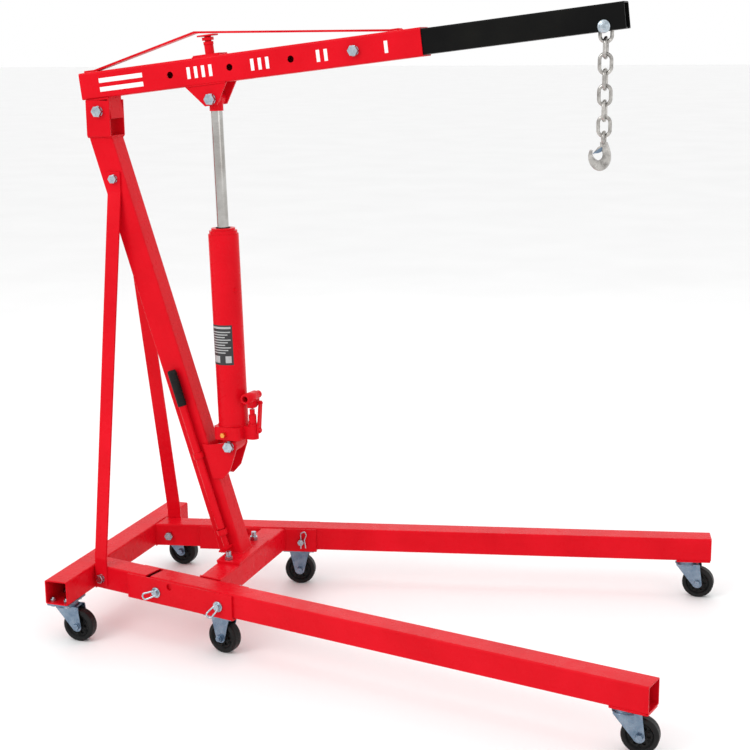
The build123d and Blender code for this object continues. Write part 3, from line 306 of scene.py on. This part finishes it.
material_of_slot = {
    "red_paint": red,
    "black_paint": black,
    "zinc_plate": zinc,
    "fastener_steel": steel,
    "rod_chrome": chrome,
    "wheel_rubber": wheel_black,
    "grip_rubber": grip_black,
    "brass": brass,
}


def finish_of(node_name):
    """Material of a CAD node: its slot's, but the chain and hook are greyer and two parts are painted."""
    if node_name.startswith("chain_link") or node_name.startswith("hook"):
        return galvanised
    if node_name in ("pump_plunger", "filler_plug"):
        return red
    return material_of_slot[slot_of[node_name]]


for node_name, node_object in frame["nodes"].items():
    node_object.data.materials.clear()
    node_object.data.materials.append(finish_of(node_name))


# ---------------------------------------------------------------- mesh helpers
def make_piece(name, vertices, faces, material, body, smooth=True):
    """Mesh object that rides on a CAD body."""
    mesh = bpy.data.meshes.new(name)
    mesh.from_pydata([tuple(v) for v in vertices], [], faces)
    mesh.materials.append(material)
    for polygon in mesh.polygons:
        polygon.use_smooth = smooth
    mesh.validate()
    piece = bpy.data.objects.new(name, mesh)
    bpy.context.scene.collection.objects.link(piece)
    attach(piece, body)
    return piece


def frames_along(points, closed):
    """Two vectors across the path at each of its points."""
    count = len(points)
    made = []
    side = None
    for index, point in enumerate(points):
        before = points[index - 1] if closed or index > 0 else point
        after = points[(index + 1) % count] if closed or index < count - 1 else point
        tangent = (after - before).normalized()
        if side is None:
            helper = UP if abs(tangent.z) < 0.9 else Vector((1, 0, 0))
            side = tangent.cross(helper).normalized()
        side = (side - tangent * side.dot(tangent)).normalized()
        made.append((side, tangent.cross(side)))
    return made


def bead(vertices, faces, points, radius, closed=False, ripple=0.0, sides=8):
    """Adds a round bead along `points`; `ripple` makes the overlapping drops of a weld."""
    start = len(vertices)
    count = len(points)
    for index, (point, (side, up)) in enumerate(zip(points, frames_along(points, closed))):
        swell = radius * (1.0 - ripple * (index % 3) / 2.0)
        for corner in range(sides):
            turn = 2 * pi * corner / sides
            vertices.append(point + side * cos(turn) * swell + up * sin(turn) * swell)
    for index in range(count if closed else count - 1):
        after = (index + 1) % count
        for corner in range(sides):
            beyond = (corner + 1) % sides
            faces.append((start + index * sides + corner, start + index * sides + beyond,
                          start + after * sides + beyond, start + after * sides + corner))
    if not closed:
        faces.append(tuple(start + corner for corner in reversed(range(sides))))
        faces.append(tuple(start + (count - 1) * sides + corner for corner in range(sides)))


def stepped(corners, closed, step):
    """Points about `step` apart along straight runs between the corners."""
    made = []
    pairs = list(zip(corners, corners[1:] + corners[:1])) if closed else list(zip(corners, corners[1:]))
    for first, second in pairs:
        count = max(1, round((second - first).length / step))
        made += [first.lerp(second, index / count) for index in range(count)]
    return made if closed else made + [corners[-1]]


WELD_STEP = 0.0016                  # from one drop of a weld to the next
WELD_RIPPLE = 0.28


def weld(store, corners, radius=0.0022, closed=False):
    """Weld bead that runs through the corners."""
    bead(store[0], store[1], stepped(corners, closed, WELD_STEP), radius, closed, ripple=WELD_RIPPLE)


def square_to(axis):
    """Two unit vectors square to an axis and to each other."""
    helper = Vector((0, 1, 0)) if abs(axis.y) < 0.9 else Vector((1, 0, 0))
    first = axis.cross(helper).normalized()
    return first, axis.cross(first)


def ring_points(centre, axis, radius, count=48):
    """Points evenly round a circle."""
    first, second = square_to(axis)
    return [centre + first * radius * cos(2 * pi * n / count) + second * radius * sin(2 * pi * n / count)
            for n in range(count)]


def ring(store, centre, axis, radius, thickness, ripple=0.0, count=48):
    """Round bead bent into a circle."""
    bead(store[0], store[1], ring_points(centre, axis, radius, count), thickness, True, ripple)


def helix(store, start, axis, radius, length, pitch, thickness):
    """Screw thread: a thin bead that winds along a shaft."""
    first, second = square_to(axis)
    per_turn = 16
    steps = int(per_turn * length / pitch)
    points = []
    for n in range(steps + 1):
        turn = 2 * pi * n / per_turn
        out = first * cos(turn) + second * sin(turn)
        points.append(start + axis * length * n / steps + out * radius)
    bead(store[0], store[1], points, thickness, False, sides=5)


def lathe(store, centre, axis, profile, count=40):
    """Turned shape round an axis; `profile` is a list of (distance along the axis, radius)."""
    start = len(store[0])
    for along, radius in profile:
        store[0].extend(ring_points(centre + axis * along, axis, radius, count))
    for row in range(len(profile) - 1):
        for n in range(count):
            a = start + row * count
            m = (n + 1) % count
            store[1].append((a + n, a + m, a + count + m, a + count + n))


def new_store():
    """Vertices and faces of a piece that is being made."""
    return [], []


def finish_store(name, store, material, body):
    return make_piece(name, store[0], store[1], material, body)


# ---------------------------------------------------------------- welds on the base and the mast
CHANNEL_REAR = 0.109                # distances along a leg, from the rear beam's front face
PIN_FROM_BEAM = 0.1982
PIN_WALL = 0.005                    # thickness of a channel's wall
HANDLE_SIDE = -0.0435               # y of the stored handle's middle
handle_foot = Vector((joint_place("boom_pivot").x + 0.305, HANDLE_SIDE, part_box("handle_tube")[0].z))
rear_beam_low, rear_beam_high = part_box("rear_crossbeam")
tube = rear_beam_high.z - rear_beam_low.z


def mast_cut(x, z):
    """Corners of the mast's level cut, centred on x at height z."""
    return [Vector((x + across * mast_half_x, side * mast_half, z)) for across, side in CORNERS]


def leg_crossing(x, out):
    """Distance ahead of the folding pin where a line `out` from the leg's middle crosses x."""
    return (x - leg_pin.x) / leg_along.x + out * leg_along.y / leg_along.x


def mast_welds(store):
    """Round the mast's foot, and round its top in the head bracket."""
    foot_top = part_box("mast_foot_plate")[1].z
    weld(store, mast_cut(mast_high.x - mast_half_x, foot_top), 0.0032, True)
    weld(store, mast_cut(mast_low.x + mast_half_x, mast_high.z), 0.0026, True)


def side_tube_weld(store, side):
    """Where a side tube meets the rear beam. The corners lie a few millimetres aside of the tube's edges."""
    lift = Vector((0, 0, tube))
    inner = on_leg(leg_crossing(rear_beam_high.x, tube / 2), -tube / 2, rear_beam_low.z, side)
    outer = on_leg(leg_crossing(rear_beam_high.x, -tube / 2), tube / 2, rear_beam_low.z, side)
    inner.x = outer.x = rear_beam_high.x
    weld(store, [inner, inner + lift, outer + lift, outer], 0.0026, True)


def channel_welds(store, side):
    """Upright welds at a channel's rear end, on the side tube."""
    channel_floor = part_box("leg_channels")[0].z
    rear = CHANNEL_REAR - PIN_FROM_BEAM
    for out in (-tube / 2, tube / 2):
        low = on_leg(rear, out, channel_floor + 0.006, side)
        high = on_leg(rear, out, channel_floor + 0.062, side)
        weld(store, [low, high], 0.0026)


def front_beam_welds(store, side):
    """Where the front beam meets a channel's inner wall: two upright welds and one along the top."""
    cross_low, cross_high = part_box("front_crossbeam")
    wall = -(tube / 2 + PIN_WALL)
    for x in (cross_low.x + 0.004, cross_high.x - 0.004):
        y = on_leg(leg_crossing(x, wall), wall, 0, side).y
        low = Vector((x, y, rear_beam_low.z + 0.004))
        high = Vector((x, y, rear_beam_high.z - 0.003))
        weld(store, [low, high], 0.0024)
    ends = [on_leg(leg_crossing(x, wall), wall, rear_beam_high.z, side) for x in (cross_low.x, cross_high.x)]
    weld(store, ends, 0.0024)


def ram_lug_weld(store, side):
    """Along the rear edge of a ram lug, on the mast's side."""
    lug_low, lug_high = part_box("mast_ram_lugs")
    top = Vector((lug_low.x + 0.001, side * (mast_half + 0.0008), lug_high.z - 0.016))
    low = Vector((top.x + 0.026, top.y, lug_low.z + 0.003))
    weld(store, [top, low], 0.0022)


def handle_ring_welds(store, height):
    """Above and below a handle ring, on the mast's near side."""
    centre = handle_foot + mast_along * height
    edge = Vector((centre.x, -mast_half, centre.z))
    reach = mast_forward * 0.009
    for along in (-0.006, 0.008):
        weld(store, [edge - reach + mast_along * along, edge + reach + mast_along * along], 0.0018)


def base_welds():
    store = new_store()
    mast_welds(store)
    for side in (-1, 1):
        side_tube_weld(store, side)
        channel_welds(store, side)
        front_beam_welds(store, side)
    for side in (-1, 1):
        ram_lug_weld(store, side)
    for height in (0.036, 0.238):
        handle_ring_welds(store, height)
    finish_store("base_welds", store, red, "base")


def leg_welds():
    """Two welds along the top of each front caster plate."""
    plate_rear, plate_front, plate_side = 0.088, 0.012, 0.0285
    for side, name in ((1, "left"), (-1, "right")):
        store = new_store()
        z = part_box(f"front_caster_plate_{name}")[1].z
        tip = (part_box(f"leg_{name}")[1].x - leg_pin.x) / leg_along.x
        for out in (-plate_side, plate_side):
            ends = [on_leg(tip - back, out, z, side) for back in (plate_rear, plate_front)]
            weld(store, ends, 0.0020)
        finish_store(f"leg_welds_{name}", store, red, f"leg_{name}")


# ---------------------------------------------------------------- boom: welds, threads and marks
POST_ALONG = 0.340                  # distances along the boom, from its rear end
STRAP_ENDS = (0.0135, 0.808)
LOAD_HOLE_FIRST = 0.244
LOAD_HOLE_PITCH = 0.1554
rod_head_low, rod_head_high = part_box("ram_rod_head")
head_bolt = Vector(((rod_head_low.x + rod_head_high.x) / 2, 0, rod_head_high.z - 0.016))
head_bolt_along = (head_bolt - boom_rear).dot(boom_along)
pivot_along = (joint_place("boom_pivot") - boom_rear).dot(boom_along)


def boom_welds():
    """Round the strap post's plate, beside the strap's ends, and along the ram plates and pivot block."""
    store = new_store()
    half_long, half_wide = 0.034, 0.026
    plate = [on_boom(POST_ALONG + end * half_long, boom_half, side * half_wide) for end, side in CORNERS]
    weld(store, plate, 0.0024, True)
    for along in STRAP_ENDS:
        for y in (-0.0115, 0.0115):
            weld(store, [on_boom(along - 0.006, boom_half, y), on_boom(along + 0.018, boom_half, y)], 0.0018)
    for y in (-0.0305, 0.0305):
        rear = on_boom(head_bolt_along - 0.060, -boom_half, y)
        front = on_boom(head_bolt_along + 0.044, -boom_half, y)
        weld(store, [rear, front], 0.0022)
    for along in (pivot_along - 0.031, pivot_along + 0.031):
        weld(store, [on_boom(along, -boom_half, -0.029), on_boom(along, -boom_half, 0.029)], 0.0024)
    finish_store("boom_welds", store, red, "boom")


def strap_post_thread():
    """Thread of the strap's screw post, over and under its nut."""
    radius, pitch, depth = 0.0080, 0.0018, 0.0005
    store = new_store()
    for start, length in ((0.0443, 0.0042), (0.0342, 0.0026)):
        helix(store, on_boom(POST_ALONG, boom_half + start, 0), boom_up, radius, length, pitch, depth)
    finish_store("strap_post_thread", store, red, "boom")


def raised_bar(store, centre, right, up, width, height, thickness):
    """Thin printed bar with bevelled rim, lying on the plane through `centre`."""
    out = right.cross(up).normalized()
    start = len(store[0])
    for inset, lift in ((0.0, 0.0), (0.0, thickness * 0.5), (thickness, thickness)):
        for across, along in CORNERS:
            corner = right * across * (width / 2 - inset) + up * along * (height / 2 - inset)
            store[0].append(centre + corner + out * lift)
    for level in (start, start + 4):
        for n in range(4):
            m = (n + 1) % 4
            store[1].append((level + n, level + m, level + 4 + m, level + 4 + n))
    store[1].append((start + 8, start + 9, start + 10, start + 11))
    store[1].append((start + 3, start + 2, start + 1, start + 0))


def boom_marks():
    """Tally bars after each load hole, four to one, and two plain stripes at the rear."""
    ink = 0.00035
    bar_width, bar_height, bar_pitch = 0.0085, 0.027, 0.019
    stripe_along, stripe_length, stripe_width = 0.112, 0.118, 0.011
    store = new_store()
    for face in (-1, 1):
        right = boom_along * -face
        for hole in range(4):
            bars = 4 - hole
            middle = LOAD_HOLE_FIRST + LOAD_HOLE_PITCH * (hole + 0.5)
            for bar in range(bars):
                centre = on_boom(middle + (bar - (bars - 1) / 2) * bar_pitch, -0.001, face * boom_half)
                raised_bar(store, centre, right, boom_up, bar_width, bar_height, ink)
        for up in (0.009, -0.012):
            centre = on_boom(stripe_along, up, face * boom_half)
            raised_bar(store, centre, right, boom_up, stripe_length, stripe_width, ink)
    finish_store("capacity_marks", store, white_ink, "boom")


# ---------------------------------------------------------------- ram: rings, seal and label
CYLINDER_RADIUS = 0.037
CYLINDER_LOW = 0.050                # heights along the ram, from its foot bolt
CYLINDER_HIGH = 0.525
GLAND_TOP = 0.5392


def ram_rings():
    """Weld round the cylinder's foot, and two rounded rims at its top."""
    store = new_store()
    ring(store, on_ram(CYLINDER_LOW + 0.001), ram_along, CYLINDER_RADIUS - 0.0004, 0.0026, 0.25, 140)
    ring(store, on_ram(CYLINDER_HIGH), ram_along, CYLINDER_RADIUS - 0.0034, 0.0016, 0.0, 96)
    ring(store, on_ram(CYLINDER_HIGH + 0.008), ram_along, CYLINDER_RADIUS - 0.0085, 0.0012, 0.0, 96)
    finish_store("ram_rings", store, red, "ram")


def rod_wiper():
    """Rubber seal with two lips, where the rod leaves the gland."""
    store = new_store()
    ring(store, on_ram(GLAND_TOP), ram_along, 0.0164, 0.0018, 0.0, 64)
    ring(store, on_ram(GLAND_TOP + 0.0008), ram_along, 0.0152, 0.0009, 0.0, 64)
    finish_store("rod_wiper", store, grip_black, "ram")


def label_patch(name, heights, turns, lift, material):
    """Patch that wraps the cylinder between two heights and two angles."""
    low, high = heights
    inside, outside = CYLINDER_RADIUS - 0.0002, CYLINDER_RADIUS + lift
    vertices, faces = [], []
    columns = max(2, int(abs(turns[1] - turns[0]) / radians(3)))
    for level, radius in ((low, inside), (low, outside), (high, outside), (high, inside)):
        for n in range(columns + 1):
            vertices.append(on_ram(level, radius, turns[0] + (turns[1] - turns[0]) * n / columns))
    for row in range(3):
        for n in range(columns):
            a = row * (columns + 1) + n
            faces.append((a, a + 1, a + columns + 2, a + columns + 1))
    for n in range(columns):
        a, b = n, 3 * (columns + 1) + n
        faces.append((a + 1, a, b, b + 1))
    for n in (0, columns):
        side = [row * (columns + 1) + n for row in range(4)]
        faces.append(tuple(side if n else reversed(side)))
    make_piece(name, vertices, faces, material, "ram", smooth=False)


def ram_label():
    """Plain black label with grey bars and no writing. Bar ends are shares of the label's half width."""
    middle, half = radians(-101), radians(49)
    label_patch("ram_label", (0.2065, 0.3055), (middle - half, middle + half), 0.0002, label_black)
    title = (0.2965, 0.3015, -0.85, 0.88)
    lines = []
    for n in range(9):
        height = 0.2870 - 0.0064 * n
        lines.append((height, height + 0.0026, -0.85, 0.84 - 0.22 * (n % 3)))
    blocks = [(0.2120, 0.2290, -0.85, -0.10), (0.2120, 0.2290, 0.38, 0.84)]
    for index, (low, high, left, right) in enumerate([title] + lines + blocks):
        turns = (middle + half * left, middle + half * right)
        label_patch(f"label_bar_{index + 1}", (low, high), turns, 0.00035, grey_ink)


# ---------------------------------------------------------------- chain, casters, handle, foot studs
LINK_WIRE = 0.008


def chain_seams():
    """The butt weld on one side of each chain link, on alternate sides down the chain."""
    for number in range(1, 8):
        low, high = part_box(f"chain_link_{number}")
        out = Vector((1, 0, 0)) if number % 2 else Vector((0, 1, 0))
        width = (high - low).dot(out)
        place = (low + high) / 2 + out * (width / 2 - LINK_WIRE / 2) * (-1) ** (number // 2)
        store = new_store()
        ring(store, place, UP, 0.0035, 0.0009, 0.2, 24)
        finish_store(f"chain_seam_{number}", store, galvanised, f"link_{number}")


def swivel_ridges():
    """Two pressed ridges round each swivel head."""
    for end in ("rear", "front"):
        for side in ("left", "right"):
            top = joint_place(f"swivel_{end}_{side}")
            store = new_store()
            ring(store, top - UP * 0.0050, UP, 0.0250, 0.0012)
            ring(store, top - UP * 0.0100, UP, 0.0268, 0.0014)
            finish_store(f"swivel_ridge_{end}_{side}", store, zinc, f"caster_{end}_{side}")


def wheel_rings():
    """Moulded rings and a circle of small eyes on both sides of each wheel, and the seam round its tread."""
    for end in ("rear", "middle", "front"):
        for side in ("left", "right"):
            hub = joint_place(f"roll_{end}_{side}")
            axis = joint_axis(f"roll_{end}_{side}")
            store = new_store()
            for face in (-1, 1):
                ring(store, hub + axis * face * 0.0120, axis, 0.0305, 0.0010)
                ring(store, hub + axis * face * 0.0095, axis, 0.0125, 0.0010)
                for eye in ring_points(hub + axis * face * 0.0105, axis, 0.0215, 6):
                    ring(store, eye, axis, 0.0028, 0.0008, 0.0, 16)
            ring(store, hub, axis, 0.0398, 0.0004, 0.0, 96)
            name = f"wheel_rings_{end}_{side}"
            finish_store(name, store, wheel_black, f"wheel_{end}_{side}")


def handle_ribs():
    """Moulded ribs round the pump handle's grip."""
    low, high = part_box("handle_grip")
    ribs, first, span = 11, 0.010, 0.074
    top = Vector((low.x + 0.011, HANDLE_SIDE, high.z - 0.003))
    store = new_store()
    for n in range(ribs):
        ring(store, top - mast_along * (first + n * span / (ribs - 1)), mast_along, 0.0108, 0.0009, 0.0, 32)
    finish_store("handle_grip_ribs", store, grip_black, "pump_handle")


def pump_socket_sleeve():
    """Thick wall of the socket that takes the pump handle."""
    socket = next(mount for mount in record["mounts"] if mount["name"] == "handle_socket")
    axis = Vector(socket["axis"]).normalized()
    half, outer, bore = 0.026, 0.0130, 0.0076
    profile = [
        (-half + 0.004, 0.0080),
        (-half + 0.004, outer - 0.001),
        (-half + 0.005, outer),
        (half - 0.001, outer),
        (half + 0.0003, outer - 0.0013),
        (half + 0.0003, bore),
        (half - 0.006, bore),
    ]
    store = new_store()
    lathe(store, Vector(socket["pos_m"]), axis, profile)
    finish_store("pump_socket_sleeve", store, red, "pump_lever")


def chain_bolt_head():
    """Domed head over the chain bolt's near end."""
    low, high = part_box("chain_bolt")
    seat = Vector(((low.x + high.x) / 2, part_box("extension_tube")[0].y + 0.0002, (low.z + high.z) / 2))
    reach = seat.y - low.y + 0.0004
    profile = [
        (0.0, 0.0140),
        (0.0022, 0.0146),
        (0.0040, 0.0128),
        (0.0050, 0.0105),
        (0.0046, 0.0085),
        (reach - 0.0004, 0.0072),
        (reach, 0.0050),
        (reach, 0.0002),
    ]
    store = new_store()
    lathe(store, seat, Vector((0, -1, 0)), profile)
    finish_store("chain_bolt_head", store, steel, "extension")


def latch_flanges():
    """Folded side flanges of the hook's latch, deepest in the middle."""
    low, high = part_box("hook_latch")
    pivot = joint_place("latch_hinge")
    tip = Vector((low.x, 0, low.z))
    along = (tip - pivot).normalized()
    down = Vector((along.z, 0, -along.x)) if along.x > 0 else Vector((-along.z, 0, along.x))
    half, sheet, lip, steps = (high.y - low.y) / 2, 0.0008, 0.0008, 8
    row = 2 * (steps + 1)
    vertices, faces = [], []
    for side in (-1, 1):
        start = len(vertices)
        for y in (side * (half - sheet), side * half):
            for n in range(steps + 1):
                share = n / steps
                depth = 0.0016 + 0.0052 * sin(pi * min(1.0, share * 1.15))
                edge = pivot + (tip - pivot) * share
                edge.y = y
                vertices += [edge - down * lip, edge + down * depth]
        for n in range(steps):
            a = start + 2 * n
            b = a + row
            faces += [(a, a + 1, a + 3, a + 2), (b, b + 2, b + 3, b + 1)]
            faces += [(a, a + 2, b + 2, b), (a + 1, b + 1, b + 3, a + 3)]
        end = start + row - 2
        faces += [(start, start + row, start + row + 1, start + 1), (end, end + 1, end + row + 1, end + row)]
    make_piece("latch_flanges", vertices, faces, zinc, "hook_latch", smooth=False)


def foot_stud_threads():
    """Threads of the two studs that hold the mast's foot plate."""
    low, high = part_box("mast_foot_plate")
    store = new_store()
    for y in (-0.078, 0.078):
        start = Vector(((low.x + high.x) / 2 - 0.005, y, high.z + 0.0100))
        helix(store, start, UP, 0.0060, 0.0108, 0.00175, 0.0005)
    finish_store("foot_stud_threads", store, steel, "base")


base_welds()
leg_welds()
boom_welds()
strap_post_thread()
boom_marks()
ram_rings()
rod_wiper()
ram_label()
chain_seams()
swivel_ridges()
wheel_rings()
handle_ribs()
pump_socket_sleeve()
chain_bolt_head()
latch_flanges()
foot_stud_threads()


# ---------------------------------------------------------------- floor, light and camera
def floor():
    """Plain pale studio floor."""
    size = 60.0
    corners = [(-size, -size, 0), (size, -size, 0), (size, size, 0), (-size, size, 0)]
    mesh = bpy.data.meshes.new("floor")
    mesh.from_pydata(corners, [], [(0, 1, 2, 3)])
    plane = bpy.data.objects.new("floor", mesh)
    bpy.context.scene.collection.objects.link(plane)
    material, nodes, links, shader = new_material("floor_pale")
    cloud = noise(nodes, links, object_coordinates(nodes), 1.5)
    tones = [(0.3, (0.91, 0.91, 0.91)), (0.7, (0.94, 0.94, 0.94))]
    links.new(ramp(nodes, links, cloud, tones), shader.inputs["Base Color"])
    shader.inputs["Roughness"].default_value = 0.6
    mesh.materials.append(material)


def area_light(name, place, size, power):
    """Soft light that faces the middle of the crane."""
    middle = Vector((0.0, 0.0, 0.7))
    light = bpy.data.lights.new(name, "AREA")
    light.shape = "RECTANGLE"
    light.size, light.size_y = size
    light.energy = power
    holder = bpy.data.objects.new(name, light)
    holder.location = place
    holder.rotation_euler = (middle - Vector(place)).to_track_quat("-Z", "Y").to_euler()
    bpy.context.scene.collection.objects.link(holder)


def studio():
    """White surroundings and four soft lights."""
    world = bpy.data.worlds.new("studio")
    world.use_nodes = True
    world.node_tree.nodes["Background"].inputs["Color"].default_value = (1.0, 1.0, 1.0, 1)
    world.node_tree.nodes["Background"].inputs["Strength"].default_value = 1.0
    bpy.context.scene.world = world
    area_light("key", (-2.4, -3.4, 3.6), (2.2, 2.2), 70)
    area_light("fill", (3.8, -2.2, 2.0), (2.4, 2.4), 14)
    area_light("top", (0.2, 0.4, 4.4), (3.0, 3.0), 20)
    area_light("back", (-1.0, 4.0, 2.6), (2.6, 2.0), 12)


def camera():
    data = bpy.data.cameras.new("camera")
    data.sensor_width = 36.0
    data.lens = 72.17
    data.clip_end = 200.0
    holder = bpy.data.objects.new("camera", data)
    holder.location = (1.1363, -3.3043, 1.4419)
    holder.rotation_euler = Euler((radians(77.152), radians(0.638), radians(19.013)), "XYZ")
    bpy.context.scene.collection.objects.link(holder)
    bpy.context.scene.camera = holder


floor()
studio()
camera()
bpy.context.scene.view_settings.view_transform = "Standard"
